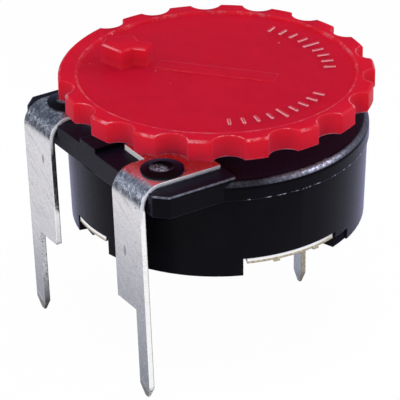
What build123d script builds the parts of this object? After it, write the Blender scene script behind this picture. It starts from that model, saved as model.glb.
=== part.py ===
from build123d import *
import os
from math import radians, tan

# Round single-turn trimmer potentiometer with a toothed thumbwheel, standing on its three solder pins.
# The origin is on the rotor's axis, level with the pin tips. +Z is up and the end terminals' row is at -Y.
# All lengths are millimetres. The wheel is drawn at the end of its travel nearest the left terminal.

os.makedirs("parts", exist_ok=True)

# Solder pins and terminal strip
end_pin_spacing = 10.06
wiper_pin_offset = 5.03
strip_thickness = 0.29
end_pin_width = 0.84
end_pin_length = 4.75
end_leg_width = 2.51
wiper_pin_width = 0.66
pin_tip_length = 0.6
pin_tip_width_share = 0.3
pin_tip_thickness_share = 0.4
leg_lean_deg = 1.66
pin_inset = 0.01
leg_bend_radius = 0.85
wiper_bend_radius = 0.3

# Terminal tabs on the ledge, measured back from the ledge's front
tab_reach = 4.05
branch_setback = 1.4
branch_width = 1.2
branch_gap = 0.43
tongue_width = 0.7
tongue_end = 0.12
stake_setback = 1.5
stake_inset = 1.1

# Housing, sized from the rim inwards
rim_radius = 7.5
rim_step = 0.08
wall_draft = 0.12
side_wall = 1.2
skirt_wall = 0.8
standoff = 6.08
foot_height = 0.92
housing_height = 5.27
top_wall = 1.0
rim_height = 0.94
rim_edge_radius = 0.4

# Ledge that carries the terminals
ledge_rise = 0.16
ledge_inset = 0.1
ledge_side_margin = 1.0
ledge_back_margin = 0.2
ledge_corner = 0.6
ledge_edge_radius = 0.15
bend_relief_radius = 0.7
land_width = 1.4
land_height = 0.25
post_radius = 0.5
stake_radius = 1.05
stake_height = 0.24
stake_edge = 0.08
stake_dimple_radius = 0.6
stake_dimple_depth = 0.26

# Skirt notches, the shallow recess beside the side notches and the shoulder beside the front one
side_notch_from_deg = -23.5
side_notch_to_deg = 18.0
front_notch_from_deg = -102.0
front_notch_to_deg = -79.5
front_shoulder_deg = 6.0
shoulder_setback = 0.4
recess_deg = 8.5
recess_height = 0.62
recess_depth = 0.12

# Resistive element
carrier_thickness = 0.6
carrier_hole_radius = 3.2
film_thickness = 0.05
track_inset = 0.8
track_width = 1.2
electrical_travel_deg = 250.0
pad_gap_deg = 16.0
pad_ear_deg = 18.0
pad_margin = 0.15

# Rotor
hub_radius = 2.75
flange_gap = 0.8
flange_thickness = 1.1
flange_lift = 0.9
boss_radius = 2.9
socket_flats = 3.2
snap_bore_radius = 2.0
snap_bore_depth = 0.55
lug_reach = 0.6
lug_deg = 12.0
stop_height = 2.3

# Wiper contact
wiper_thickness = 0.15
wiper_width = 1.4
wiper_bend_inner_radius = 0.15
wiper_slit = 0.2
collector_brush_radius = 3.5

# Collector plate
collector_hole_radius = 2.1
pin_window_margin = 0.35
pin_window_depth = 0.5
lug_end_gap_deg = 1.5
ear_places_deg = (-10.2, 7.4)
ear_deg = 2.4
ear_drop = 0.12

# Thumbwheel
wheel_overhang = 0.25
wheel_thickness = 1.09
wheel_gap = 1.11
wheel_edge = 0.1
tooth_count = 18
tooth_depth = 0.63
tooth_tip_share = 0.4
lobe_teeth = 3
border_width = 0.9
dish_depth = 0.13
dish_draft = 0.08
plug_clearance_depth = 0.08
slit_width = 0.6
slit_depth = 2.4

# Raised arrow in the wheel's dish, measured back from its blunt tip, and the low bar behind it
arrow_inset = 1.07
arrow_taper_length = 1.24
arrow_head_length = 1.66
arrow_length = 2.36
arrow_tip_width = 0.76
arrow_width = 2.04
arrow_height = 1.0
arrow_edge = 0.08
bar_width = 0.9
bar_length = 6.0
bar_height = 0.06

# Travel and clearances
pointer_deg = -139.0
dead_sector_deg = 98.0
stop_gap_deg = 0.5
running_clearance = 0.05
seat_clearance = 0.08
turning_gap = 0.15
brush_gap = 0.03
overrun = 1.0

# Levels above the pin tips
plate_z = standoff + foot_height
top_z = standoff + housing_height
rim_top_z = top_z - ledge_rise
rim_z = rim_top_z - rim_height
ceiling_z = top_z - top_wall
tab_z = top_z + strip_thickness
element_z = ceiling_z - carrier_thickness
film_z = element_z - film_thickness
flange_z = plate_z + flange_lift
flange_top_z = flange_z + flange_thickness
rotor_low_z = plate_z + running_clearance
wheel_z = top_z + wheel_gap
wheel_top_z = wheel_z + wheel_thickness
dish_z = wheel_top_z - dish_depth

# Radii from the rim inwards
wall_radius = rim_radius - rim_step
foot_radius = wall_radius - wall_draft
cavity_radius = foot_radius - side_wall
skirt_inner_radius = foot_radius - skirt_wall
shoulder_radius = foot_radius - shoulder_setback
carrier_radius = cavity_radius - seat_clearance
flange_radius = cavity_radius - flange_gap
strip_notch_radius = flange_radius - wiper_thickness - running_clearance
track_radius = flange_radius - track_inset
track_inner = track_radius - track_width / 2
track_outer = track_radius + track_width / 2
bore_radius = hub_radius + running_clearance
wheel_radius = rim_radius + wheel_overhang
dish_radius = wheel_radius - border_width

# Places on the ledge, as distances from the axis
ledge_front_offset = rim_radius - ledge_inset
ledge_width = end_pin_spacing + end_pin_width + 2 * ledge_side_margin
end_row_offset = ledge_front_offset - pin_inset
tab_end_offset = ledge_front_offset - tab_reach
ledge_back_offset = tab_end_offset - ledge_back_margin
branch_front_offset = ledge_front_offset - branch_setback
branch_back_offset = branch_front_offset - branch_width
branch_end_offset = land_width / 2 + branch_gap
tongue_offset = branch_back_offset + tongue_width / 2 + seat_clearance
tongue_low_z = film_z - tongue_end
pin_outer_x = (end_pin_spacing + end_pin_width) / 2
leg_inner_x = pin_outer_x - end_leg_width
stake_x = pin_outer_x - stake_inset
stake_y = stake_setback - ledge_front_offset

# Angles shared by the skirt and the collector plate
side_notches = [
    (side_notch_from_deg, side_notch_to_deg),
    (180 - side_notch_to_deg, 180 - side_notch_from_deg),
]
front_notch = (front_notch_from_deg + front_shoulder_deg, front_notch_to_deg)
front_seat = (front_notch_from_deg, front_notch_from_deg + front_shoulder_deg)
pitch_deg = 360 / tooth_count


def disc(radius, low, high):
    """An upright cylinder about the rotor's axis between two levels."""
    return Pos(0, 0, low) * Cylinder(radius, high - low, align=(Align.CENTER, Align.CENTER, Align.MIN))


def slab(x_from, x_to, y_from, y_to, low, high):
    """A box between named limits."""
    middle = ((x_from + x_to) / 2, (y_from + y_to) / 2, (low + high) / 2)
    return Pos(*middle) * Box(abs(x_to - x_from), abs(y_to - y_from), high - low)


def sector(inner, outer, from_deg, to_deg, low, high):
    """A ring sector between two radii, two angles and two levels."""
    far = CenterArc((0, 0), outer, from_deg, to_deg - from_deg)
    near = CenterArc((0, 0), inner, from_deg, to_deg - from_deg)
    face = make_face([far, near, Line(far @ 0, near @ 0), Line(far @ 1, near @ 1)])
    return Pos(0, 0, low) * extrude(face, amount=high - low, dir=(0, 0, 1))


def bent_strip(points, radius, x_from, x_to, thickness):
    """A sheet strip along a bent centre line in the YZ plane, as wide as the two x limits."""
    line = FilletPolyline(*points, radius=radius)
    face = Plane.YZ * trace(line, line_width=thickness)
    return Pos(x_from, 0, 0) * extrude(face, amount=x_to - x_from, dir=(1, 0, 0))


def pin_outline(x_from, x_to, length):
    """The front view of a solder pin with a tapered tip."""
    middle = (x_from + x_to) / 2
    tip = (x_to - x_from) * pin_tip_width_share / 2
    points = [(x_from, length), (x_from, pin_tip_length), (middle - tip, 0)]
    points += [(middle + tip, 0), (x_to, pin_tip_length), (x_to, length)]
    return make_face(Polyline(*points, close=True))


def front_prism(face, y_from, y_to):
    """A front view drawn in XZ, carried from one y to another."""
    return Pos(0, y_from, 0) * extrude(Plane.XZ * face, amount=y_to - y_from, dir=(0, 1, 0))


def tip_bevels(tip_y, shoulder_y, x_from, x_to):
    """The two wedges cut from a solder pin's front and back so that its tip thins out."""
    wedges = []
    for side in (-1, 1):
        half = side * strip_thickness / 2
        out = side * overrun
        points = [(tip_y + half * pin_tip_thickness_share, 0), (shoulder_y + half, pin_tip_length)]
        points += [(shoulder_y + half + out, pin_tip_length), (tip_y + half + out, 0)]
        face = Plane.YZ * make_face(Polyline(*points, close=True))
        wedges.append(Pos(x_from, 0, 0) * extrude(face, amount=x_to - x_from, dir=(1, 0, 0)))
    return wedges


def make_end_terminal():
    """The right end terminal: pin, shoulder, leaning leg, bend and tab with its contact tongue."""
    lean = tan(radians(leg_lean_deg))
    tab_mid_z = top_z + strip_thickness / 2
    corner_y = -end_row_offset - lean * tab_mid_z
    bend_radius = leg_bend_radius + strip_thickness / 2
    route = [(-end_row_offset + lean * overrun, -overrun), (corner_y, tab_mid_z)]
    route += [(-tab_end_offset, tab_mid_z)]
    strip = bent_strip(route, bend_radius, branch_end_offset, pin_outer_x, strip_thickness)
    bend_end_y = corner_y + bend_radius
    leg_high = tab_z + overrun - end_pin_length
    leg_middle = (pin_outer_x - end_leg_width / 2, end_pin_length + leg_high / 2)
    leg_face = pin_outline(pin_outer_x - end_pin_width, pin_outer_x, end_pin_length)
    leg_face += Pos(*leg_middle) * Rectangle(end_leg_width, leg_high)
    leg = strip & front_prism(leg_face, corner_y - overrun, bend_end_y)
    leg -= tip_bevels(-end_row_offset, -end_row_offset - lean * pin_tip_length, leg_inner_x, pin_outer_x)
    tab_points = [(pin_outer_x, bend_end_y), (pin_outer_x, -tab_end_offset), (leg_inner_x, -tab_end_offset)]
    tab_points += [(leg_inner_x, -branch_back_offset), (branch_end_offset, -branch_back_offset)]
    tab_points += [(branch_end_offset, -branch_front_offset), (leg_inner_x, -branch_front_offset)]
    tab_points += [(leg_inner_x, bend_end_y)]
    tab_face = make_face(Polyline(*tab_points, close=True))
    tab = strip & (Pos(0, 0, top_z - overrun) * extrude(tab_face, amount=2 * overrun, dir=(0, 0, 1)))
    tongue_y = (-tongue_offset - tongue_width / 2, -tongue_offset + tongue_width / 2)
    tongue = slab(branch_end_offset, branch_end_offset + strip_thickness, *tongue_y, tongue_low_z, tab_z)
    post_hole = disc(post_radius + running_clearance, ceiling_z, tab_z + overrun)
    return leg + tab + tongue - Pos(stake_x, stake_y) * post_hole


def make_housing():
    """The moulded cup: drafted wall, rim, raised ledge, cavity, notched skirt, stop rib and stakes."""
    upright = (Align.CENTER, Align.CENTER, Align.MIN)
    body = Pos(0, 0, standoff) * Cone(foot_radius, wall_radius, rim_z - standoff, align=upright)
    rim = disc(rim_radius, rim_z, rim_top_z)
    rim = fillet(rim.edges().sort_by(Axis.Z)[-1:], rim_edge_radius)
    rim_front = -ledge_front_offset - overrun
    body += rim - slab(-rim_radius, rim_radius, rim_front, -ledge_front_offset, rim_z, top_z)
    body += make_ledge()
    body -= disc(cavity_radius, plate_z, ceiling_z)
    body -= disc(skirt_inner_radius, standoff, plate_z)
    body -= disc(bore_radius, ceiling_z, top_z + overrun)

    # Stop rib that the rotor's lug meets at both ends of the travel
    rib_half = (dead_sector_deg - lug_deg) / 2 - stop_gap_deg
    rib_radii = (flange_radius + turning_gap, (cavity_radius + wall_radius) / 2)
    body += sector(*rib_radii, 90 - rib_half, 90 + rib_half, plate_z, plate_z + stop_height)

    # Slots through the top wall for the contact tongues
    body -= tongue_slots(seat_clearance, ceiling_z - overrun, top_z + overrun)

    # Notches in the skirt, the seat in front of the front notch's shoulder and the side recesses
    for notch in [*side_notches, front_notch]:
        body -= sector(cavity_radius, wall_radius + overrun, *notch, standoff - overrun, plate_z)
    body -= sector(shoulder_radius, wall_radius + overrun, *front_seat, standoff - overrun, plate_z)
    recess_radii = (foot_radius - recess_depth, rim_radius + overrun)
    for from_deg in (side_notch_to_deg, 180 - side_notch_to_deg - recess_deg):
        recess_levels = (standoff - overrun, standoff + recess_height)
        body -= sector(*recess_radii, from_deg, from_deg + recess_deg, *recess_levels)

    for side in (-1, 1):
        body += Pos(side * stake_x, stake_y) * make_stake()
    return body


def make_ledge():
    """The squared ledge: flat front, rounded flanks, reliefs under the terminal bends, a land between."""
    middle_y = -(ledge_front_offset + ledge_back_offset) / 2
    plan = Pos(0, middle_y) * Rectangle(ledge_width, ledge_front_offset - ledge_back_offset)
    plan = chamfer(plan.vertices().sort_by(Axis.Y)[:2], ledge_corner)
    ledge = Pos(0, 0, rim_z) * extrude(plan, amount=top_z - rim_z)
    flank_edges = ledge.faces().sort_by(Axis.Z)[-1].edges().sort_by(Axis.Y)[1:-1]
    ledge = fillet(flank_edges, ledge_edge_radius)
    relief_y = -ledge_front_offset + bend_relief_radius
    relief_z = top_z - bend_relief_radius
    round_axis = Plane((0, relief_y, relief_z), x_dir=(0, 1, 0), z_dir=(1, 0, 0))
    for side in (-1, 1):
        x_span = (side * (leg_inner_x - seat_clearance), side * (pin_outer_x + seat_clearance))
        corner = slab(*x_span, -ledge_front_offset - overrun, relief_y, relief_z, top_z + overrun)
        ledge -= corner - round_axis * Cylinder(bend_relief_radius, 2 * rim_radius)
    land_y = (-ledge_front_offset, -ledge_back_offset)
    return ledge + slab(-land_width / 2, land_width / 2, *land_y, ceiling_z, top_z + land_height)


def make_stake():
    """A heat-staked post: a stem through the tab and a low domed head with a cupped dimple."""
    high = tab_z + stake_height
    dome_radius = cap_sphere_radius(stake_radius, stake_height - stake_edge)
    cup_radius = cap_sphere_radius(stake_dimple_radius, stake_dimple_depth)
    head = disc(stake_radius, tab_z, high) & (Pos(0, 0, high - dome_radius) * Sphere(dome_radius))
    cup = Pos(0, 0, high - stake_dimple_depth + cup_radius) * Sphere(cup_radius)
    return head + disc(post_radius, ceiling_z, tab_z) - cup


def cap_sphere_radius(base_radius, height):
    """The radius of the sphere whose cap has a given base and height."""
    return (base_radius ** 2 + height ** 2) / (2 * height)


def make_collector():
    """The plate that closes the bottom: lugs in the skirt's notches, two of them eared, and a folded pin."""
    low = plate_z - strip_thickness
    plate = disc(skirt_inner_radius - seat_clearance, low, plate_z)
    for from_deg, to_deg in [*side_notches, front_notch]:
        lug = (from_deg + lug_end_gap_deg, to_deg - lug_end_gap_deg)
        plate += sector(cavity_radius, foot_radius, *lug, low, plate_z)
    for from_deg, to_deg in ear_spans():
        plate += sector(foot_radius - strip_thickness, foot_radius, from_deg, to_deg, low - ear_drop, low)
    lip = (front_seat[0] + lug_end_gap_deg, front_seat[1] + 2 * lug_end_gap_deg)
    plate += sector(shoulder_radius + seat_clearance, foot_radius, *lip, low, plate_z)
    plate -= disc(collector_hole_radius, low, plate_z)
    window_x = wiper_pin_width / 2 + pin_window_margin
    window_y = wiper_pin_offset - pin_window_depth
    plate -= slab(-window_x, window_x, window_y, skirt_inner_radius + overrun, low, plate_z)
    mid_z = plate_z - strip_thickness / 2
    route = [(window_y - pin_window_depth, mid_z), (wiper_pin_offset, mid_z), (wiper_pin_offset, -overrun)]
    half = wiper_pin_width / 2
    pin = bent_strip(route, wiper_bend_radius, -half, half, strip_thickness)
    pin &= front_prism(pin_outline(-half, half, plate_z), 0, skirt_inner_radius)
    pin -= tip_bevels(wiper_pin_offset, wiper_pin_offset, -half, half)
    return plate + pin


def ear_spans():
    """The angles of the small ears turned down at the edges of the two side lugs."""
    places = [*ear_places_deg, *(180 - place for place in ear_places_deg)]
    return [(place - ear_deg / 2, place + ear_deg / 2) for place in places]


def make_carrier():
    """The phenolic ring under the housing's top wall, slotted for the contact tongues."""
    ring = disc(carrier_radius, element_z, ceiling_z) - disc(carrier_hole_radius, element_z, ceiling_z)
    return ring - tongue_slots(running_clearance, element_z, ceiling_z)


def tongue_slots(clearance, low, high):
    """The two slots that the contact tongues pass, a clearance wider than the tongues all round."""
    reach = tongue_width / 2 + clearance
    span_y = (-tongue_offset - reach, -tongue_offset + reach)
    inner_x = branch_end_offset - clearance
    outer_x = branch_end_offset + strip_thickness + clearance
    return [slab(side * inner_x, side * outer_x, *span_y, low, high) for side in (-1, 1)]


def make_track():
    """The horseshoe of carbon film on the carrier's underside."""
    half = electrical_travel_deg / 2
    return sector(track_inner, track_outer, 90 - half, 90 + half, film_z, element_z)


def make_pads():
    """The two conductive pads that join the film's ends to the contact tongues."""
    start = 90 - electrical_travel_deg / 2
    end = -90 + pad_gap_deg / 2
    pad = sector(track_inner, track_outer, end, start, film_z, element_z)
    pad += sector(track_radius, carrier_radius - pad_margin, end, end + pad_ear_deg, film_z, element_z)
    right = pad - tongue_slots(running_clearance, film_z, element_z)
    return [right, mirror(right, about=Plane.YZ)]


def make_rotor():
    """The turning piece: hub, flange with stop lug, bearing boss, hex socket and snap recess."""
    body = disc(hub_radius, flange_z, wheel_z)
    body += disc(flange_radius, flange_z, flange_top_z)
    body += disc(boss_radius, rotor_low_z, flange_z)
    lug_span = (180 - lug_deg / 2, 180 + lug_deg / 2)
    body += sector(hub_radius, flange_radius + lug_reach, *lug_span, flange_z, flange_top_z)
    socket = Pos(0, 0, rotor_low_z) * extrude(hex_face(socket_flats), amount=wheel_z - rotor_low_z)
    body -= socket
    body -= disc(snap_bore_radius, rotor_low_z, rotor_low_z + snap_bore_depth)
    half = wiper_width / 2 + running_clearance
    return body - slab(strip_notch_radius, flange_radius + lug_reach, -half, half, flange_z, flange_top_z)


def hex_face(flats):
    """A hexagon of a given size across its flats."""
    return RegularPolygon(flats / 2, 6, major_radius=False)


def make_wiper():
    """The contact spring: clipped round the flange's rim, one brush on the track and one on the collector."""
    half = wiper_thickness / 2
    spine = strip_notch_radius + running_clearance + half
    lower = flange_z - running_clearance - half
    upper = flange_top_z + running_clearance + half
    route = [(collector_brush_radius, plate_z + brush_gap + half), (spine, lower)]
    route += [(spine, upper), (track_radius, film_z - brush_gap - half)]
    bend_radius = wiper_bend_inner_radius + half
    strip = bent_strip(route, bend_radius, -wiper_width / 2, wiper_width / 2, wiper_thickness)
    slit = slab(-wiper_slit / 2, wiper_slit / 2, 0, (track_radius + spine) / 2, flange_top_z, film_z)
    return Rot(0, 0, -90) * (strip - slit)


def make_thumbwheel():
    """The toothed wheel with its pointer lobe, raised arrow and bar, and the snap plug below."""
    blank = disc(wheel_radius, wheel_z, wheel_top_z)
    wheel = chamfer(blank.edges().filter_by(GeomType.CIRCLE), wheel_edge) - scallops()
    upright = (Align.CENTER, Align.CENTER, Align.MIN)
    wheel -= Pos(0, 0, dish_z) * Cone(dish_radius - dish_draft, dish_radius, dish_depth, align=upright)
    wheel += make_arrow()
    low = rotor_low_z + plug_clearance_depth
    snap_high = snap_bore_depth - 2 * plug_clearance_depth
    snap_radii = (socket_flats / 2, snap_bore_radius - running_clearance)
    plug = Pos(0, 0, low) * extrude(hex_face(socket_flats - 2 * running_clearance), amount=wheel_z - low)
    plug += Pos(0, 0, low) * Cone(*snap_radii, snap_high, align=upright)
    plug -= slab(-snap_bore_radius, snap_bore_radius, -slit_width / 2, slit_width / 2, low, low + slit_depth)
    return wheel + plug


def scallops():
    """The round valleys between the teeth, left out where the pointer lobe is."""
    half_deg = pitch_deg * (1 - tooth_tip_share) / 2
    tip = Vector(wheel_radius, 0).rotate(Axis.Z, half_deg)
    floor = wheel_radius - tooth_depth
    span = tip.X - floor
    radius = (span ** 2 + tip.Y ** 2) / (2 * span)
    cutter = Pos(floor + radius, 0) * disc(radius, wheel_z, wheel_top_z)
    filled = lobe_teeth - 1
    angles = [pitch_deg * (step + lobe_teeth / 2) for step in range(tooth_count - filled)]
    return [Rot(0, 0, angle) * cutter for angle in angles]


def make_arrow():
    """The raised blunt arrow near the lobe and the low bar through the wheel's centre."""
    tip = dish_radius - arrow_inset
    profile = [(tip, arrow_tip_width / 2), (tip - arrow_taper_length, arrow_width / 2)]
    profile += [(tip - arrow_head_length, bar_width / 2), (tip - arrow_length, bar_width / 2)]
    mirrored = [(x, -y) for x, y in reversed(profile)]
    outline = make_face(Polyline(*profile, *mirrored, close=True))
    arrow_high = dish_z + arrow_height - wheel_z
    arrow = Pos(0, 0, wheel_z) * extrude(outline, amount=arrow_high, dir=(0, 0, 1))
    arrow = chamfer(arrow.faces().sort_by(Axis.Z)[-1].edges(), arrow_edge)
    half = bar_length / 2
    return arrow + slab(-half, half, -bar_width / 2, bar_width / 2, wheel_z, dish_z + bar_height)


pointed = Rot(0, 0, pointer_deg)
end_terminal_right = make_end_terminal()
nodes = {
    "housing": make_housing(),
    "end_terminal_right": end_terminal_right,
    "end_terminal_left": mirror(end_terminal_right, about=Plane.YZ),
    "collector_terminal": make_collector(),
    "track_carrier": make_carrier(),
    "carbon_track": make_track(),
    "track_end_pads": Compound(children=make_pads()),
    "rotor": pointed * make_rotor(),
    "wiper_contact": pointed * make_wiper(),
    "thumbwheel": pointed * make_thumbwheel(),
}
for name, shape in nodes.items():
    export_step(shape, f"parts/{name}.step")
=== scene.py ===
"""Looks for a round trimmer potentiometer with a red thumbwheel: finishes, ticks, light and camera."""

from math import cos, pi, radians, sin

import bmesh
import bpy
from mathutils import Matrix, Vector


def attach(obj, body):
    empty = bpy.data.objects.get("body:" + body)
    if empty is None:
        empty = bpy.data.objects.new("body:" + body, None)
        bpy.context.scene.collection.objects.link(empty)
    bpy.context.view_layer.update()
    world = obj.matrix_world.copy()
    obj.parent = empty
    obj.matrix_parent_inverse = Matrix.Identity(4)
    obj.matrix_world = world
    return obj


MM = 0.001
WHITE = (1, 1, 1, 1)

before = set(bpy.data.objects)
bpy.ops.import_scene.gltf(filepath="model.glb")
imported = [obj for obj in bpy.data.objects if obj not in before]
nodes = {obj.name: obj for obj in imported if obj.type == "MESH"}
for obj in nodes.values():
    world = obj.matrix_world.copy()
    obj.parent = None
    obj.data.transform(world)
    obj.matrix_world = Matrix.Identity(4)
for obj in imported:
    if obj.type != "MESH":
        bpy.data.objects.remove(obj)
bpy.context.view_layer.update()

# Camera: a long lens, looking down at the corner of the right-hand terminal
CAMERA_AIM = Vector((-0.232, -0.905, 6.464)) * MM
CAMERA_AZIMUTH_DEG = 57.52
CAMERA_ELEVATION_DEG = 28.43
CAMERA_ROLL_DEG = -0.73
CAMERA_DISTANCE = 132.74 * MM
CAMERA_LENS = 239.03
SENSOR_WIDTH = 36.0
CLIP_START = CAMERA_DISTANCE / 10

# Stage: the floor is white round the part and grey far out. Its edges are millimetres from its middle
FLOOR_SIZE = 4.0
FLOOR_COLOUR = (0.9, 0.9, 0.9, 1)
FLOOR_FAR_COLOUR = (0.3, 0.3, 0.32, 1)
FLOOR_GLOW_SHARE = 0.98
FLOOR_REFLECTED_GLOW_SHARE = 0.9
CARD_EDGE = (25.0, 50.0)
SHADED_EDGE = (5.0, 9.0)
SHADED_SHARE = 0.2
STUDIO_COLOUR = (0.27, 0.31, 0.39, 1)

# Lamps: azimuth and elevation in degrees, distance, width and height in metres, brightness and colour
LAMPS = {
    "overhead": (57, 68, 0.4, 0.25, 0.25, 2.42, (1, 1, 1)),
    "back": (158, 36, 0.35, 0.2, 0.14, 4.8, (0.93, 0.95, 1)),
    "right": (134, 47, 0.35, 0.2, 0.12, 0.8, (0.95, 0.97, 1)),
    "front": (44, 16, 0.5, 0.3, 0.2, 4.0, (1, 1, 1)),
    "front_left": (-25, 22, 0.45, 0.3, 0.22, 2.2, (1, 1, 1)),
}

# Relief marks on the wheel's dished face: two arcs of plain ticks
DISH_Z = 13.42 * MM
TICK_RADIUS = 5.55 * MM
TICK_LENGTH = 0.6 * MM
LONG_TICK_LENGTH = 0.95 * MM
TICK_WIDTH = 0.16 * MM
TICK_HEIGHT = 0.07 * MM
TICK_SINK = 0.03 * MM
TICK_EDGE = 0.03 * MM
TICK_EDGE_STEPS = 2
TICK_STEP_DEG = 7.0
TICKS_PER_ARC = 9
TICK_ARC_MIDDLES_DEG = (89.0, 1.0)

# In the finishes below, a pair is where a change begins and where it is complete, or the two limits of
# a band that has a softness, or a range of roughness or relief. Places, heights and radii are in
# millimetres on the part. A rise is the upward share of the direction in which a face looks, a turn is
# its share to one side, and levels are values of a texture. A share is how much of a tone shows

# How far a rounded normal turns from its face until the place counts fully as an edge
EDGE_REACH = 0.3

# The wheel's translucent red plastic
RED = (0.58, 0.005, 0.02, 1)
CLOUDED_RED = (0.63, 0.0066, 0.0255, 1)
# Painted glow: downward faces get a brighter red, so more light passes through them and the underside
# glows
UNDERSIDE_GLOW_RED = (0.98, 0.012, 0.045, 1)
UNDERSIDE_RISE = (-0.9, -0.8)
STEEP_RISE = (0.2, 0.5)
# Painted reflection: a pale bluish haze on the steep sides, standing in for the floor seen in them
SIDE_REFLECTION = (0.9, 0.75, 1, 1)
SIDE_REFLECTION_SHARE = 0.0145
BORDER_EDGE = (6.72, 7.0)
ARROW_Z = (13.56, 13.76)
DISH_TOP_Z = (13.56, 13.61)
# Painted shade: the arrow's steep sides are darker red
ARROW_SIDE_SHADE_RED = (0.36, 0.008, 0.03, 1)
ARROW_SIDE_SHADE_SHARE = 0.35
SPECK_RED = (0.9, 0.45, 0.5, 1)
SPECKS_PER_MM = 0.95
SPECK_EDGE = (0.03, 0.06)
SPECK_SHARE = 0.7
WHEEL_ROUGHNESS = (0.26, 0.4)
WHEEL_EDGE_RADIUS = 0.1 * MM
WHEEL_SHADER = {
    "Specular IOR Level": 0.018,
    "Subsurface Weight": 1.0,
    "Subsurface Radius": (1.0, 0.024, 0.032),
}

# The wheel's pale edges, partly wear and partly painted highlight: on its chamfers, on a ring round the
# border, and a painted highlight most on the one side of the arrow that catches the light
SCUFF_AND_HIGHLIGHT_RED = (1, 0.55, 0.58, 1)
SCUFF_LEVELS = (0.62, 0.74)
LEAST_SCUFF = 0.08
LYING_RISE = (0.2, 0.45)
CHAMFER_RISE = (0.4, 0.9)
CHAMFER_SOFTNESS = 0.05
CHAMFER_WEAR = 0.4
RING_RADII = (6.85, 6.92)
RING_SOFTNESS = 0.02
RING_RISE = (0.8, 0.9)
RING_WEAR = 0.35
ARROW_WEAR = 0.25
HIGHLIGHT_SIDE_TURN = (-0.63, -0.58)
HIGHLIGHT_SIDE_STRENGTH = 1.3
HIGHLIGHT_SIDE_RUB = 0.07

# The wheel's own glow depth, scuffing and share of scuffs in the dish, and those of the ticks on it, whose
# pale edges are partly painted highlight
WHEEL_BODY = (5.0 * MM, 0.115, 0.07)
WHEEL_TICKS = (0.05 * MM, 0.38, 1.0)

# The housing's black satin plastic
BLACK = (0.0026, 0.0018, 0.0022, 1)
CLOUDED_BLACK = (0.0042, 0.0032, 0.004, 1)
EDGE_BLACK = (0.06, 0.06, 0.07, 1)
EDGE_BLACK_SHARE = 0.25
RECESS_RADII = (7.15, 7.21)
RECESS_SOFTNESS = 0.01
RECESS_TOP_Z = (6.72, 6.76)
HOUSING_ROUGHNESS = (0.24, 0.4)
HOUSING_EDGE_RADIUS = 0.05 * MM
HOUSING_SHADER = {
    "Specular IOR Level": 0.055,
    "Specular Tint": (0.8, 0.82, 1, 1),
    "Sheen Weight": 0.5,
    "Sheen Roughness": 0.28,
    "Sheen Tint": (0.42, 0.41, 1, 1),
}

# The housing's painted highlights on its sloping edges, painted glints on its parting line and a painted
# glint on each stake
SLOPE_HIGHLIGHT_GREY = (0.4, 0.4, 0.49, 1)
SLOPE_RISE = (0.42, 0.92)
SLOPE_SOFTNESS = 0.05
HIGHLIGHT_BREAKUP_LEVELS = (0.36, 0.62)
LEAST_HIGHLIGHT = 0.25
HIGHLIGHT_START_Y = (-2.2, 0.2)
HIGHLIGHT_START_SHARE = 0.1
HIGHLIGHT_END_Y = (1.4, 3.4)
HIGHLIGHT_END_SHARE = 0.4
LEDGE_TOP_Z = (11.19, 11.23)
LEDGE_HIGHLIGHT_SHARE = 0.5
STAKE_FOOT_Z = (11.4, 11.5)
PARTING_LINE_Z = (10.25, 10.3)
PARTING_LINE_SOFTNESS = 0.01
ROUND_WALL_Y = (-3.4, -2.8)
GLINT_LEVELS = (0.5, 0.58)
GLINT_SHARE = 0.8
# Painted glint: a pale bluish patch on each stake's head
STAKE_GLINT_COLOUR = (0.75, 0.74, 0.88, 1)
STAKE_GLINT_PLACE = (4.35, -6.06)
STAKE_GLINT_RADII = (0.18, 0.5)
STAKE_GLINT_LEVELS = (0.42, 0.56)
STAKE_HEAD_Z = (11.5, 11.55)

# The terminals' tinned strip: its broad faces, from the tabs down to the dipped pins, with painted light
# and shade on them
LEFT_X = (-1.0, 1.0)
LEFT_SHADE_SHARE = 0.3
WIPER_Y = (-3.2, -2.8)
TIN = (0.64, 0.62, 0.65, 1)
PALE_TIN = (0.8, 0.78, 0.81, 1)
# Painted shade: a darker bluish tin down the legs and on the left pin, standing in for the darker floor
# they reflect near the part
SHADED_TIN = (0.3, 0.305, 0.36, 1)
PALE_SHADED_TIN = (0.4, 0.405, 0.46, 1)
SHADE_FADE_Z = (5.2, 10.2)
LEFT_PIN_SHADE_Z = (3.4, 5.0)
LEFT_PIN_SHADE_SHARE = 0.55
# Darker towards the pins' ends: partly solder dip, partly painted shade
DIPPED_AND_SHADED_TIN = (0.14, 0.15, 0.185, 1)
DIP_AND_SHADE_Z = (0.0, 4.5)
DIP_AND_SHADE_SHARE = 0.85
LEFT_DIP_AND_SHADE_LESS = 0.1
# Painted light: a paler bluish tin on the wiper terminal's faces
LIT_WIPER_TIN = (0.8, 0.82, 0.94, 1)
# Painted light: a paler tin on the tabs, so the red reflected in them shows brighter
BRIGHTENED_TAB_TIN = (0.95, 0.94, 0.96, 1)
TAB_Z = (11.3, 11.6)
TAB_METALLIC = 0.92
# Darker mottled patches on the left tab
LEFT_TAB_DARK = (0.1, 0.095, 0.12, 1)
LEFT_TAB_DARK_Z = (11.2, 11.45)
LEFT_TAB_DARK_SHARES = (0.9, 0.35)
LEFT_TAB_DARK_LEVELS = (0.4, 0.62)
# Painted reflection: dark bluish mottled patches on the bends, darker on the left
BEND_REFLECTION_TONE = (0.24, 0.27, 0.33, 1)
LEFT_BEND_REFLECTION_TONE = (0.15, 0.175, 0.215, 1)
BEND_RISE = (0.15, 0.93)
BEND_SOFTNESS = 0.08
BEND_SHARE = 0.9
BEND_LEVELS = (0.42, 0.66)
STRIP_ROUGHNESS = (0.14, 0.3)
STRIP_EDGE_RADIUS = 0.09 * MM
ROLLING_STRETCH = (1, 0.06, 0.06)
MOTTLE_RELIEF = (0.45, 0.9)

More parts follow.
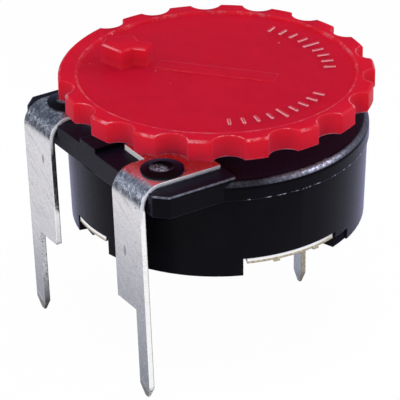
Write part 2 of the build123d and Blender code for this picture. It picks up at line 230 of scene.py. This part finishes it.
# The strip's grain, nicks, pits and scratches. A scratch has its slant in degrees and its share
DARK_GRAIN = (0.12, 0.12, 0.14, 1)
DARK_GRAIN_SHARE = 0.28
DARK_GRAIN_LEVELS = (0.32, 0.5)
PALE_GRAIN_SHARE = 0.5
PALE_GRAIN_LEVELS = (0.58, 0.7)
MARK_TONE = (0.2, 0.2, 0.23, 1)
NICK_STRETCH = (1, 1, 0.4)
NICKS_PER_MM = 1.0
NICK_EDGE = (0.08, 0.14)
NICK_SHARE = 0.85
PITS_PER_MM = 1.3
PIT_EDGE = (0.05, 0.1)
PIT_SHARE = 0.7
DARK_SCRATCHES = (32, 0.4)
PALE_SCRATCHES = (41, 0.3)
SCRATCH_STRETCH = (0.3, 0.3, 8)
SCRATCH_LEVELS = (0.3, 0.36)

# The strip's cut edges: tinned on the end terminals, brass on the bottom plate, torn round the bend, with
# painted shade where they look back and painted light and shade on the left pin's side
CUT_TIN = (0.9, 0.89, 0.89, 1)
PALE_CUT_TIN = (1, 0.99, 0.99, 1)
BRASS = (0.3, 0.25, 0.17, 1)
PALE_BRASS = (0.62, 0.55, 0.43, 1)
# Painted shade along the cut edges that look back
BACK_EDGE_SHADE = (0.16, 0.15, 0.15, 1)
BACK_EDGE_TURN = (0.12, 0.4)
BACK_EDGE_SHARE = 0.85
# The left pin's cut side: painted shade at its foot and painted light higher up, with dark grit
LEFT_PIN_TOP_Z = (4.75, 5.05)
PIN_SIDE_SHADE = (0.05, 0.048, 0.06, 1)
PIN_SIDE_LIGHT = (0.84, 0.82, 0.81, 1)
PIN_SIDE_SHADE_Z = (0.5, 2.8)
PIN_SIDE_GRIT = (0.14, 0.14, 0.16, 1)
PIN_SIDE_GRIT_SHARE = 0.7
PIN_SIDE_GRIT_LEVELS = (0.25, 0.5)
TIP_TONE = (0.04, 0.038, 0.038, 1)
TIP_Z = (0.45, 0.75)
TIP_SHARE = 0.95
LEAST_TIP_SHARE = 0.45
WIPER_TIP_SHARE = 0.3
CUT_FACE_TURN = (0.8, 0.9)
UPRIGHT_RISE = (0.2, 0.4)
PLATE_EDGE_Z = (6.57, 7.02)
PLATE_TIN_Z = (6.83, 7.1)
PLATE_SOFTNESS = 0.02
PLATE_MIDDLE_X = (2.6, 2.8)
TAB_EDGE_Z = (11.28, 11.32)
BEND_CENTRE = (-6.7, 10.5)
BEND_OUTER_RADII = (0.935, 1.035)
TORN_FROM_Z = (9.7, 10.5)
TORN_TAB_Z = (11.3, 11.5)
TORN_TAB_SHARE = 0.6
TORN_METALLIC_LESS = 0.9
TORN_ROUGHNESS = 0.5

# Plain finishes of the inner pieces, as grained() takes them
PLAIN_FINISHES = {
    "phenolic": {
        "dark": (0.17, 0.07, 0.03, 1),
        "pale": (0.3, 0.145, 0.07, 1),
        "per_mm": 6,
        "roughness": (0.45, 0.65),
        "bump": 0.3,
        "stretch": (1, 0.15, 1),
    },
    "carbon_film": {
        "dark": (0.008, 0.008, 0.009, 1),
        "pale": (0.03, 0.03, 0.032, 1),
        "per_mm": 30,
        "roughness": (0.55, 0.8),
        "bump": 0.4,
    },
    "silver_film": {
        "dark": (0.5, 0.5, 0.48, 1),
        "pale": (0.72, 0.72, 0.69, 1),
        "per_mm": 18,
        "roughness": (0.35, 0.55),
        "bump": 0.4,
        "metallic": 1,
    },
    "rotor_plastic": {
        "dark": (0.66, 0.61, 0.5, 1),
        "pale": (0.76, 0.72, 0.62, 1),
        "per_mm": 1.2,
        "roughness": (0.35, 0.5),
        "bump": 0.15,
    },
    "spring_bronze": {
        "dark": (0.52, 0.3, 0.15, 1),
        "pale": (0.68, 0.43, 0.24, 1),
        "per_mm": 5,
        "roughness": (0.22, 0.38),
        "bump": 0.25,
        "metallic": 1,
    },
}
PLAIN_SPECULAR = 0.3
PLAIN_EDGE_RADIUS = 0.04 * MM


def add(tree, kind, inputs=None, **settings):
    """A node with its settings made and its inputs set to values or linked to outputs."""
    node = tree.nodes.new(kind)
    for name, value in settings.items():
        setattr(node, name, value)
    for socket, value in (inputs or {}).items():
        if isinstance(value, bpy.types.NodeSocket):
            tree.links.new(value, node.inputs[socket])
        else:
            node.inputs[socket].default_value = value
    return node


def start_material(name):
    """A new material, its node tree and its main shader."""
    material = bpy.data.materials.new(name)
    material.use_nodes = True
    tree = material.node_tree
    return material, tree, tree.nodes["Principled BSDF"]


def link(tree, output, shader, socket):
    """An output joined to one of the shader's sockets."""
    tree.links.new(output, shader.inputs[socket])


def set_values(shader, values):
    """Plain values for the shader's sockets."""
    for socket, value in values.items():
        shader.inputs[socket].default_value = value


def place(tree, stretch=(1, 1, 1), turn_deg=0):
    """Object coordinates in millimetres, turned about Y and stretched.

    Texture scales then read as marks per millimetre.
    """
    coords = add(tree, "ShaderNodeTexCoord")
    inputs = {"Vector": coords.outputs["Object"], "Rotation": (0, radians(turn_deg), 0)}
    inputs["Scale"] = [MM / share for share in stretch]
    return add(tree, "ShaderNodeMapping", inputs, vector_type="TEXTURE").outputs["Vector"]


def noise(tree, vector, per_mm, detail=4.0, roughness=0.55):
    """A cloudy texture."""
    inputs = {"Vector": vector, "Scale": per_mm, "Detail": detail, "Roughness": roughness}
    return add(tree, "ShaderNodeTexNoise", inputs).outputs["Fac"]


def dots(tree, vector, per_mm):
    """The distance to the nearest of many scattered points."""
    inputs = {"Vector": vector, "Scale": per_mm}
    return add(tree, "ShaderNodeTexVoronoi", inputs).outputs["Distance"]


def spread(tree, value, low, high, from_low=0.3, from_high=0.7):
    """A value carried from one range to another. The first range is a texture's usual one."""
    inputs = {"Value": value, "From Min": from_low, "From Max": from_high, "To Min": low, "To Max": high}
    return add(tree, "ShaderNodeMapRange", inputs).outputs["Result"]


def rising(tree, value, begin, end):
    """0 before a change and 1 after it."""
    return spread(tree, value, 0, 1, begin, end)


def falling(tree, value, begin, end):
    """1 before a change and 0 after it."""
    return spread(tree, value, 1, 0, begin, end)


def blend(tree, factor, first, second):
    """A colour between two others."""
    node = add(tree, "ShaderNodeMix", {"Factor": factor}, data_type="RGBA")
    for socket, value in ((6, first), (7, second)):
        if isinstance(value, bpy.types.NodeSocket):
            tree.links.new(value, node.inputs[socket])
        else:
            node.inputs[socket].default_value = value
    return node.outputs[2]


def rounded(tree, radius):
    """Normals that run smoothly round every edge within a radius."""
    return add(tree, "ShaderNodeBevel", {"Radius": radius}, samples=8).outputs["Normal"]


def edges(tree, normal):
    """How far the rounded normal has turned from the face's own: 0 on the flat, 1 on an edge."""
    geometry = add(tree, "ShaderNodeNewGeometry")
    inputs = {0: normal, 1: geometry.outputs["Normal"]}
    turn = add(tree, "ShaderNodeVectorMath", inputs, operation="DOT_PRODUCT").outputs["Value"]
    return rising(tree, turn, 1.0, 1 - EDGE_REACH)


def bumped(tree, height, normal, strength, depth):
    """A normal with a texture's relief."""
    inputs = {"Height": height, "Normal": normal, "Strength": strength, "Distance": depth}
    return add(tree, "ShaderNodeBump", inputs).outputs["Normal"]


def compute(tree, operation, first, second=0.0):
    """One sum on one or two values."""
    return add(tree, "ShaderNodeMath", {0: first, 1: second}, operation=operation).outputs["Value"]


def plain_size(tree, value):
    """A value without its sign."""
    return compute(tree, "ABSOLUTE", value)


def multiply(tree, first, *others):
    """The product of two or more values."""
    for other in others:
        first = compute(tree, "MULTIPLY", first, other)
    return first


def strongest(tree, first, *others):
    """The largest of two or more values."""
    for other in others:
        first = compute(tree, "MAXIMUM", first, other)
    return first


def slanting_side(tree, first, second):
    """The length of the slanting side over two upright ones."""
    squares = [multiply(tree, side, side) for side in (first, second)]
    return compute(tree, "SQRT", compute(tree, "ADD", *squares))


def split(tree, vector):
    """A vector's three parts."""
    return add(tree, "ShaderNodeSeparateXYZ", {"Vector": vector}).outputs


def facing(tree):
    """The three parts of the direction that the surface faces."""
    return split(tree, add(tree, "ShaderNodeNewGeometry").outputs["Normal"])


def own(tree, normal):
    """A direction as it lies on the piece itself, whichever way the piece has turned."""
    settings = {"vector_type": "NORMAL", "convert_from": "WORLD", "convert_to": "OBJECT"}
    return add(tree, "ShaderNodeVectorTransform", {"Vector": normal}, **settings).outputs["Vector"]


def band(tree, value, low, high, soft):
    """1 between two values and 0 beyond them."""
    rise = rising(tree, value, low - soft, low + soft)
    return multiply(tree, rise, falling(tree, value, high - soft, high + soft))


def wheel_plastic(name, glow_depth, scuffing, dish_share):
    """Red translucent plastic: fine grain, faint clouding, pale specks and pale edges that are partly
    scuffs and partly painted highlight, with a painted reflection on the steep sides, painted shade on the
    arrow's sides and a painted glow from the underside.

    More scuffing reaches more of each edge. dish_share is the share of it inside the border.
    """
    material, tree, shader = start_material(name)
    spot = place(tree)
    x, y, height = split(tree, spot)
    rise = facing(tree)["Z"]
    steep = falling(tree, plain_size(tree, rise), *STEEP_RISE)
    cloud = spread(tree, noise(tree, spot, per_mm=0.9), 0, 1)
    red = blend(tree, cloud, RED, CLOUDED_RED)
    # Painted reflection on the steep sides
    red = blend(tree, multiply(tree, steep, SIDE_REFLECTION_SHARE), red, SIDE_REFLECTION)
    # Painted glow: a brighter red on the downward faces
    red = blend(tree, falling(tree, rise, *UNDERSIDE_RISE), red, UNDERSIDE_GLOW_RED)
    radius = slanting_side(tree, x, y)
    inside = falling(tree, radius, *BORDER_EDGE)
    arrow = multiply(tree, inside, rising(tree, height, *ARROW_Z))
    dish = multiply(tree, inside, falling(tree, height, *DISH_TOP_Z))
    # Painted shade on the arrow's sides
    red = blend(tree, multiply(tree, arrow, steep, ARROW_SIDE_SHADE_SHARE), red, ARROW_SIDE_SHADE_RED)

    normal = rounded(tree, WHEEL_EDGE_RADIUS)
    turned = split(tree, own(tree, normal))
    lying = rising(tree, plain_size(tree, turned["Z"]), *LYING_RISE)
    # Painted highlight along the side of the arrow that catches the light
    arrow_highlight = multiply(tree, arrow, spread(tree, turned["Y"], HIGHLIGHT_SIDE_STRENGTH, 0, *HIGHLIGHT_SIDE_TURN))
    wear_and_highlight = strongest(tree, spread(tree, arrow, 1, ARROW_WEAR, 0, 1), arrow_highlight)
    wear_and_highlight = multiply(tree, wear_and_highlight, spread(tree, dish, 1, dish_share, 0, 1))
    rub = noise(tree, spot, per_mm=1.6, detail=5, roughness=0.65)
    rub = compute(tree, "ADD", rub, multiply(tree, arrow_highlight, HIGHLIGHT_SIDE_RUB))
    scuffs = spread(tree, rub, LEAST_SCUFF, 1, *[level - scuffing for level in SCUFF_LEVELS])
    chamfer = multiply(tree, band(tree, rise, *CHAMFER_RISE, CHAMFER_SOFTNESS), CHAMFER_WEAR)
    ring = band(tree, radius, *RING_RADII, RING_SOFTNESS)
    ring = multiply(tree, ring, spread(tree, rise, 0, RING_WEAR, *RING_RISE))
    corner = strongest(tree, edges(tree, normal), chamfer, ring)
    red = blend(tree, multiply(tree, corner, lying, scuffs, wear_and_highlight), red, SCUFF_AND_HIGHLIGHT_RED)
    speck = spread(tree, dots(tree, spot, SPECKS_PER_MM), SPECK_SHARE, 0, *SPECK_EDGE)
    red = blend(tree, speck, red, SPECK_RED)

    grain = noise(tree, spot, per_mm=22, detail=3)
    link(tree, red, shader, "Base Color")
    link(tree, spread(tree, grain, *WHEEL_ROUGHNESS), shader, "Roughness")
    link(tree, bumped(tree, grain, normal, strength=0.25, depth=0.004 * MM), shader, "Normal")
    set_values(shader, WHEEL_SHADER)
    shader.inputs["Subsurface Scale"].default_value = glow_depth
    return material


def housing_plastic():
    """Black satin plastic: mould texture and worn edges, with painted highlights on the sloping edges,
    painted glints on the parting line and a painted glint on each stake.
    """
    material, tree, shader = start_material("housing_plastic")
    spot = place(tree)
    x, y, height = split(tree, spot)
    normal = rounded(tree, HOUSING_EDGE_RADIUS)
    grain = noise(tree, spot, per_mm=9, detail=6, roughness=0.65)
    cloud = spread(tree, noise(tree, spot, per_mm=0.7), 0, 1)
    black = blend(tree, cloud, BLACK, CLOUDED_BLACK)
    wear = multiply(tree, edges(tree, normal), spread(tree, grain, 0, EDGE_BLACK_SHARE))
    black = blend(tree, wear, black, EDGE_BLACK)
    # Painted highlights on the sloping edges and painted glints on the parting line
    painted_highlights = strongest(tree, painted_slope_highlights(tree, spot), glints(tree, spot))
    black = blend(tree, painted_highlights, black, SLOPE_HIGHLIGHT_GREY)
    # A painted glint on each stake's head
    stake_glint = multiply(tree, stake_glint_spots(tree, spot), rising(tree, grain, *STAKE_GLINT_LEVELS))
    black = blend(tree, stake_glint, black, STAKE_GLINT_COLOUR)
    recess = band(tree, slanting_side(tree, x, y), *RECESS_RADII, RECESS_SOFTNESS)
    recess = multiply(tree, recess, falling(tree, height, *RECESS_TOP_Z))
    link(tree, black, shader, "Base Color")
    link(tree, compute(tree, "SUBTRACT", painted_highlights, stake_glint), shader, "Metallic")
    link(tree, strongest(tree, spread(tree, grain, *HOUSING_ROUGHNESS), recess), shader, "Roughness")
    link(tree, bumped(tree, grain, normal, strength=0.6, depth=0.009 * MM), shader, "Normal")
    set_values(shader, HOUSING_SHADER)
    return material


def painted_slope_highlights(tree, spot):
    """A mask of painted highlight on the sloping edges under the stakes: strongest at the sides, faint at
    the front, weaker at the back and on the ledge.
    """
    _, y, height = split(tree, spot)
    slope = band(tree, facing(tree)["Z"], *SLOPE_RISE, SLOPE_SOFTNESS)
    highlight_breakup = noise(tree, spot, per_mm=6, detail=5, roughness=0.7)
    highlight_breakup = spread(tree, highlight_breakup, LEAST_HIGHLIGHT, 1, *HIGHLIGHT_BREAKUP_LEVELS)
    lit_share = spread(tree, y, HIGHLIGHT_START_SHARE, 1, *HIGHLIGHT_START_Y)
    lit_share = multiply(tree, lit_share, spread(tree, y, 1, HIGHLIGHT_END_SHARE, *HIGHLIGHT_END_Y))
    lit_share = strongest(tree, lit_share, spread(tree, height, 0, LEDGE_HIGHLIGHT_SHARE, *LEDGE_TOP_Z))
    return multiply(tree, slope, highlight_breakup, lit_share, falling(tree, height, *STAKE_FOOT_Z))


def glints(tree, spot):
    """A mask of broken glints along the parting line of the round wall."""
    _, y, height = split(tree, spot)
    flash = band(tree, height, *PARTING_LINE_Z, PARTING_LINE_SOFTNESS)
    flash = multiply(tree, flash, rising(tree, y, *ROUND_WALL_Y))
    breaks = noise(tree, spot, per_mm=3.2, detail=3)
    return multiply(tree, flash, spread(tree, breaks, 0, GLINT_SHARE, *GLINT_LEVELS))


def stake_glint_spots(tree, spot):
    """A mask of a small place on each stake's head, where a glint is painted."""
    x, y, height = split(tree, spot)
    across = compute(tree, "SUBTRACT", plain_size(tree, x), STAKE_GLINT_PLACE[0])
    along = compute(tree, "SUBTRACT", y, STAKE_GLINT_PLACE[1])
    near = falling(tree, slanting_side(tree, across, along), *STAKE_GLINT_RADII)
    return multiply(tree, near, rising(tree, height, *STAKE_HEAD_Z))


def terminal_metal():
    """Tinned strip: grainy tin, rolling lines, nicks and scratches, painted light and shade on the faces
    and pins, and sheared edges.
    """
    material, tree, shader = start_material("terminal_metal")
    spot = place(tree)
    x, y, height = split(tree, spot)
    left = falling(tree, x, *LEFT_X)
    wiper = rising(tree, y, *WIPER_Y)
    bend = band(tree, facing(tree)["Z"], *BEND_RISE, BEND_SOFTNESS)
    normal = rounded(tree, STRIP_EDGE_RADIUS)
    mottle = noise(tree, spot, per_mm=5, detail=6, roughness=0.7)
    fine = noise(tree, spot, per_mm=13, detail=4, roughness=0.7)
    grit = spread(tree, noise(tree, spot, per_mm=8), 0, 1)
    marks = strongest(tree, nicks(tree), scratches(tree, *DARK_SCRATCHES))

    tin = broad_faces(tree, height, left, wiper, bend, mottle)
    tin = blend(tree, spread(tree, fine, DARK_GRAIN_SHARE, 0, *DARK_GRAIN_LEVELS), tin, DARK_GRAIN)
    tin = blend(tree, spread(tree, fine, 0, PALE_GRAIN_SHARE, *PALE_GRAIN_LEVELS), tin, WHITE)
    tin = blend(tree, marks, tin, MARK_TONE)
    tin = blend(tree, scratches(tree, *PALE_SCRATCHES), tin, WHITE)

    sheared, brassy, torn = sheared_faces(tree, spot)
    # The left pin below its shoulder, whose cut side gets painted light and shade
    left_pin_zone = multiply(tree, left, falling(tree, height, *LEFT_PIN_TOP_Z))
    torn = strongest(tree, torn, multiply(tree, left_pin_zone, sheared))
    tin_edge = cut_edges(tree, height, left_pin_zone, grit, normal)
    brass_edge = blend(tree, grit, BRASS, PALE_BRASS)
    brass_edge = blend(tree, band(tree, height, *PLATE_TIN_Z, PLATE_SOFTNESS), brass_edge, tin_edge)
    tin = blend(tree, sheared, tin, blend(tree, brassy, tin_edge, brass_edge))
    tip = spread(tree, height, TIP_SHARE, 0, *TIP_Z)
    tip = multiply(tree, tip, spread(tree, grit, LEAST_TIP_SHARE, 1))
    tip = multiply(tree, tip, spread(tree, wiper, 1, WIPER_TIP_SHARE, 0, 1))
    link(tree, blend(tree, tip, tin, TIP_TONE), shader, "Base Color")

    bare = spread(tree, height, 1, TAB_METALLIC, *TAB_Z)
    bare = compute(tree, "SUBTRACT", bare, multiply(tree, torn, TORN_METALLIC_LESS))
    link(tree, bare, shader, "Metallic")
    dullness = multiply(tree, torn, TORN_ROUGHNESS)
    dullness = compute(tree, "ADD", spread(tree, mottle, *STRIP_ROUGHNESS), dullness)
    link(tree, dullness, shader, "Roughness")
    rolled = noise(tree, place(tree, ROLLING_STRETCH), per_mm=14, detail=3)
    unmarked = compute(tree, "SUBTRACT", 1.0, marks)
    mottle_relief = spread(tree, bend, *MOTTLE_RELIEF, 0, 1)
    normal = bumped(tree, rolled, normal, strength=0.3, depth=0.004 * MM)
    normal = bumped(tree, unmarked, normal, strength=0.5, depth=0.02 * MM)
    normal = bumped(tree, fine, normal, strength=0.3, depth=0.004 * MM)
    normal = bumped(tree, mottle, normal, strength=mottle_relief, depth=0.012 * MM)
    link(tree, normal, shader, "Normal")
    return material


def broad_faces(tree, height, left, wiper, bend, mottle):
    """The strip's tones: mottled tin with painted shade down the legs and the left pin, pins darker at
    their ends partly from solder dip and partly painted shade, painted light on the wiper and the tabs,
    darker mottled patches on the left tab and painted dark reflections on the bends.
    """
    cloud = spread(tree, mottle, 0, 1)
    tin = blend(tree, cloud, TIN, PALE_TIN)
    shaded = blend(tree, cloud, SHADED_TIN, PALE_SHADED_TIN)
    # Painted shade down the legs and on the left pin
    leg_shade = multiply(tree, falling(tree, height, *SHADE_FADE_Z), spread(tree, left, 1, LEFT_SHADE_SHARE, 0, 1))
    tin = blend(tree, leg_shade, tin, shaded)
    left_pin_shade = multiply(tree, left, spread(tree, height, LEFT_PIN_SHADE_SHARE, 0, *LEFT_PIN_SHADE_Z))
    tin = blend(tree, left_pin_shade, tin, shaded)
    # Darker towards the pins' ends: partly solder dip, partly painted shade
    dip_and_shade = spread(tree, height, DIP_AND_SHADE_SHARE, 0, *DIP_AND_SHADE_Z)
    dip_and_shade = compute(tree, "SUBTRACT", dip_and_shade, multiply(tree, left, LEFT_DIP_AND_SHADE_LESS))
    tin = blend(tree, dip_and_shade, tin, DIPPED_AND_SHADED_TIN)
    # Painted light on the wiper terminal
    tin = blend(tree, wiper, tin, LIT_WIPER_TIN)
    # Painted light on the tabs
    tin = blend(tree, rising(tree, height, *TAB_Z), tin, BRIGHTENED_TAB_TIN)
    left_tab_dark = spread(tree, mottle, *LEFT_TAB_DARK_SHARES, *LEFT_TAB_DARK_LEVELS)
    left_tab_dark = multiply(tree, left, rising(tree, height, *LEFT_TAB_DARK_Z), left_tab_dark)
    tin = blend(tree, left_tab_dark, tin, LEFT_TAB_DARK)
    # Painted dark reflection on the bends
    bend_reflection = multiply(tree, bend, spread(tree, mottle, BEND_SHARE, 0, *BEND_LEVELS))
    return blend(tree, bend_reflection, tin, blend(tree, left, BEND_REFLECTION_TONE, LEFT_BEND_REFLECTION_TONE))


def cut_edges(tree, height, left_pin_zone, grit, normal):
    """Pale gritty cut edges, with painted shade where they look back, and painted shade low and painted
    light high on the left pin's side.
    """
    edge = blend(tree, grit, CUT_TIN, PALE_CUT_TIN)
    # Painted shade low and painted light high on the left pin's side
    pin_side = blend(tree, rising(tree, height, *PIN_SIDE_SHADE_Z), PIN_SIDE_SHADE, PIN_SIDE_LIGHT)
    gritty = spread(tree, grit, PIN_SIDE_GRIT_SHARE, 0, *PIN_SIDE_GRIT_LEVELS)
    pin_side = blend(tree, gritty, pin_side, PIN_SIDE_GRIT)
    edge = blend(tree, left_pin_zone, edge, pin_side)
    # Painted shade where the edges look back
    back = spread(tree, split(tree, normal)["Y"], 0, BACK_EDGE_SHARE, *BACK_EDGE_TURN)
    return blend(tree, back, edge, BACK_EDGE_SHADE)


def nicks(tree):
    """A few small upright nicks and smaller pits."""
    nick = dots(tree, place(tree, NICK_STRETCH), NICKS_PER_MM)
    nick = spread(tree, nick, NICK_SHARE, 0, *NICK_EDGE)
    pit = spread(tree, dots(tree, place(tree), PITS_PER_MM), PIT_SHARE, 0, *PIT_EDGE)
    return strongest(tree, nick, pit)


def scratches(tree, slant_deg, share):
    """Fine slanting scratches, broken into short runs."""
    streaks = noise(tree, place(tree, SCRATCH_STRETCH, slant_deg), per_mm=1.5, detail=2)
    return spread(tree, streaks, share, 0, *SCRATCH_LEVELS)


def sheared_faces(tree, spot):
    """Masks of the strip's cut faces, of those where brass shows and of their torn, rough parts."""
    across, along, rise = facing(tree)
    x, y, height = split(tree, spot)
    sides = rising(tree, plain_size(tree, across), *CUT_FACE_TURN)
    fronts = rising(tree, plain_size(tree, along), *CUT_FACE_TURN)
    upright = falling(tree, plain_size(tree, rise), *UPRIGHT_RISE)
    plate_level = band(tree, height, *PLATE_EDGE_Z, PLATE_SOFTNESS)
    tab_level = rising(tree, height, *TAB_EDGE_Z)
    middle = multiply(tree, plate_level, falling(tree, plain_size(tree, x), *PLATE_MIDDLE_X))
    brassy = strongest(tree, rising(tree, y, *WIPER_Y), middle)
    levels = compute(tree, "ADD", tab_level, multiply(tree, plate_level, brassy))
    sheared = strongest(tree, sides, multiply(tree, upright, levels))
    ahead = strongest(tree, compute(tree, "SUBTRACT", BEND_CENTRE[0], y), 0.0)
    above = strongest(tree, compute(tree, "SUBTRACT", height, BEND_CENTRE[1]), 0.0)
    outer = rising(tree, slanting_side(tree, ahead, above), *BEND_OUTER_RADII)
    outer = multiply(tree, outer, sides, rising(tree, height, *TORN_FROM_Z))
    outer = multiply(tree, outer, spread(tree, height, 1, TORN_TAB_SHARE, *TORN_TAB_Z))
    torn = strongest(tree, outer, multiply(tree, upright, tab_level, fronts))
    return sheared, brassy, torn


def grained(name, dark, pale, per_mm, roughness, bump, metallic=0, stretch=(1, 1, 1)):
    """A plain two-tone finish with a grain that also varies its gloss and relief."""
    material, tree, shader = start_material(name)
    grain = noise(tree, place(tree, stretch), per_mm, detail=5, roughness=0.6)
    normal = rounded(tree, PLAIN_EDGE_RADIUS)
    link(tree, blend(tree, spread(tree, grain, 0, 1), dark, pale), shader, "Base Color")
    link(tree, spread(tree, grain, *roughness), shader, "Roughness")
    link(tree, bumped(tree, grain, normal, bump, depth=0.006 * MM), shader, "Normal")
    set_values(shader, {"Metallic": metallic, "Specular IOR Level": PLAIN_SPECULAR})
    return material


def make_ticks(finish):
    """Two arcs of raised radial ticks, the middle one of each arc longer."""
    mesh = bmesh.new()
    half = TICKS_PER_ARC // 2
    for middle in TICK_ARC_MIDDLES_DEG:
        for step in range(-half, half + 1):
            length = TICK_LENGTH if step else LONG_TICK_LENGTH
            turn = Matrix.Rotation(radians(middle + step * TICK_STEP_DEG), 4, "Z")
            size = Matrix.Diagonal((length, TICK_WIDTH, TICK_HEIGHT + TICK_SINK, 1))
            seat = Matrix.Translation((TICK_RADIUS, 0, DISH_Z + (TICK_HEIGHT - TICK_SINK) / 2))
            bmesh.ops.create_cube(mesh, size=1, matrix=turn @ seat @ size)
    edge = {"offset": TICK_EDGE, "segments": TICK_EDGE_STEPS, "affect": "EDGES", "clamp_overlap": True}
    bmesh.ops.bevel(mesh, geom=mesh.edges[:], **edge)
    data = bpy.data.meshes.new("wheel_ticks")
    mesh.to_mesh(data)
    mesh.free()
    ticks = bpy.data.objects.new("wheel_ticks", data)
    bpy.context.scene.collection.objects.link(ticks)
    data.materials.append(finish)
    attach(ticks, "wheel")


def make_floor():
    """A plain white floor with a soft shadow.

    Round the part it is as white in reflections as it is to the eye, apart from right beneath it.
    """
    bpy.ops.mesh.primitive_plane_add(size=FLOOR_SIZE, location=(0, 0, 0))
    floor = bpy.context.object
    floor.name = "floor"
    material, tree, shader = start_material("floor_white")
    middle = add(tree, "ShaderNodeVectorMath", {0: place(tree)}, operation="LENGTH").outputs["Value"]
    near = falling(tree, middle, *CARD_EDGE)
    near = multiply(tree, near, spread(tree, middle, SHADED_SHARE, 1, *SHADED_EDGE))
    link(tree, blend(tree, near, FLOOR_FAR_COLOUR, FLOOR_COLOUR), shader, "Base Color")
    set_values(shader, {"Roughness": 1, "Specular IOR Level": 0})
    path = add(tree, "ShaderNodeLightPath").outputs
    reflected = compute(tree, "ADD", path["Is Glossy Ray"], path["Is Transmission Ray"])
    reflected = multiply(tree, reflected, near, FLOOR_REFLECTED_GLOW_SHARE)
    seen = multiply(tree, path["Is Camera Ray"], FLOOR_GLOW_SHARE)
    share = compute(tree, "ADD", seen, reflected)
    glow = add(tree, "ShaderNodeEmission", {"Color": WHITE, "Strength": 1.0})
    mix = add(tree, "ShaderNodeMixShader", {0: share, 1: shader.outputs[0], 2: glow.outputs[0]})
    tree.links.new(mix.outputs[0], tree.nodes["Material Output"].inputs["Surface"])
    floor.data.materials.append(material)


def make_world():
    """An even, cool studio tone all round."""
    world = bpy.data.worlds.new("studio")
    bpy.context.scene.world = world
    world.use_nodes = True
    world.node_tree.nodes["Background"].inputs["Color"].default_value = STUDIO_COLOUR


def heading(azimuth_deg, elevation_deg):
    """The direction of a place round the object. 0 is -Y, 90 is +X."""
    azimuth = radians(azimuth_deg)
    elevation = radians(elevation_deg)
    return Vector((sin(azimuth) * cos(elevation), -cos(azimuth) * cos(elevation), sin(elevation)))


def make_softbox(name, azimuth_deg, elevation_deg, distance, width, height, brightness, colour):
    """A rectangular lamp that faces the object. A brightness of 1 is white."""
    lamp = bpy.data.lights.new(name, "AREA")
    lamp.shape = "RECTANGLE"
    lamp.size = width
    lamp.size_y = height
    lamp.energy = brightness * pi * width * height
    lamp.color = colour
    box = bpy.data.objects.new(name, lamp)
    direction = heading(azimuth_deg, elevation_deg)
    box.location = CAMERA_AIM + direction * distance
    box.rotation_euler = direction.to_track_quat("Z", "Y").to_euler()
    box.visible_camera = False
    bpy.context.scene.collection.objects.link(box)


def make_camera():
    """The camera at the photograph's viewing angle."""
    back = heading(CAMERA_AZIMUTH_DEG, CAMERA_ELEVATION_DEG)
    right = Vector((0, 0, 1)).cross(back).normalized()
    up = back.cross(right)
    axes = Matrix((right, up, back)).transposed() @ Matrix.Rotation(radians(CAMERA_ROLL_DEG), 3, "Z")
    data = bpy.data.cameras.new("camera")
    data.lens = CAMERA_LENS
    data.sensor_width = SENSOR_WIDTH
    data.clip_start = CLIP_START
    data.clip_end = FLOOR_SIZE
    camera = bpy.data.objects.new("camera", data)
    camera.matrix_world = Matrix.Translation(CAMERA_AIM + back * CAMERA_DISTANCE) @ axes.to_4x4()
    bpy.context.scene.collection.objects.link(camera)
    bpy.context.scene.camera = camera


finishes = {
    "wheel_plastic": wheel_plastic("wheel_plastic", *WHEEL_BODY),
    "wheel_marks": wheel_plastic("wheel_marks", *WHEEL_TICKS),
    "housing_plastic": housing_plastic(),
    "terminal_metal": terminal_metal(),
}
for name, looks in PLAIN_FINISHES.items():
    finishes[name] = grained(name, **looks)
for node in nodes.values():
    for slot in node.material_slots:
        slot.material = finishes[slot.material.name.split(".")[0]]

make_ticks(finishes["wheel_marks"])
make_floor()
make_world()
for name, settings in LAMPS.items():
    make_softbox(name, *settings)
make_camera()
bpy.context.scene.view_settings.view_transform = "Standard"
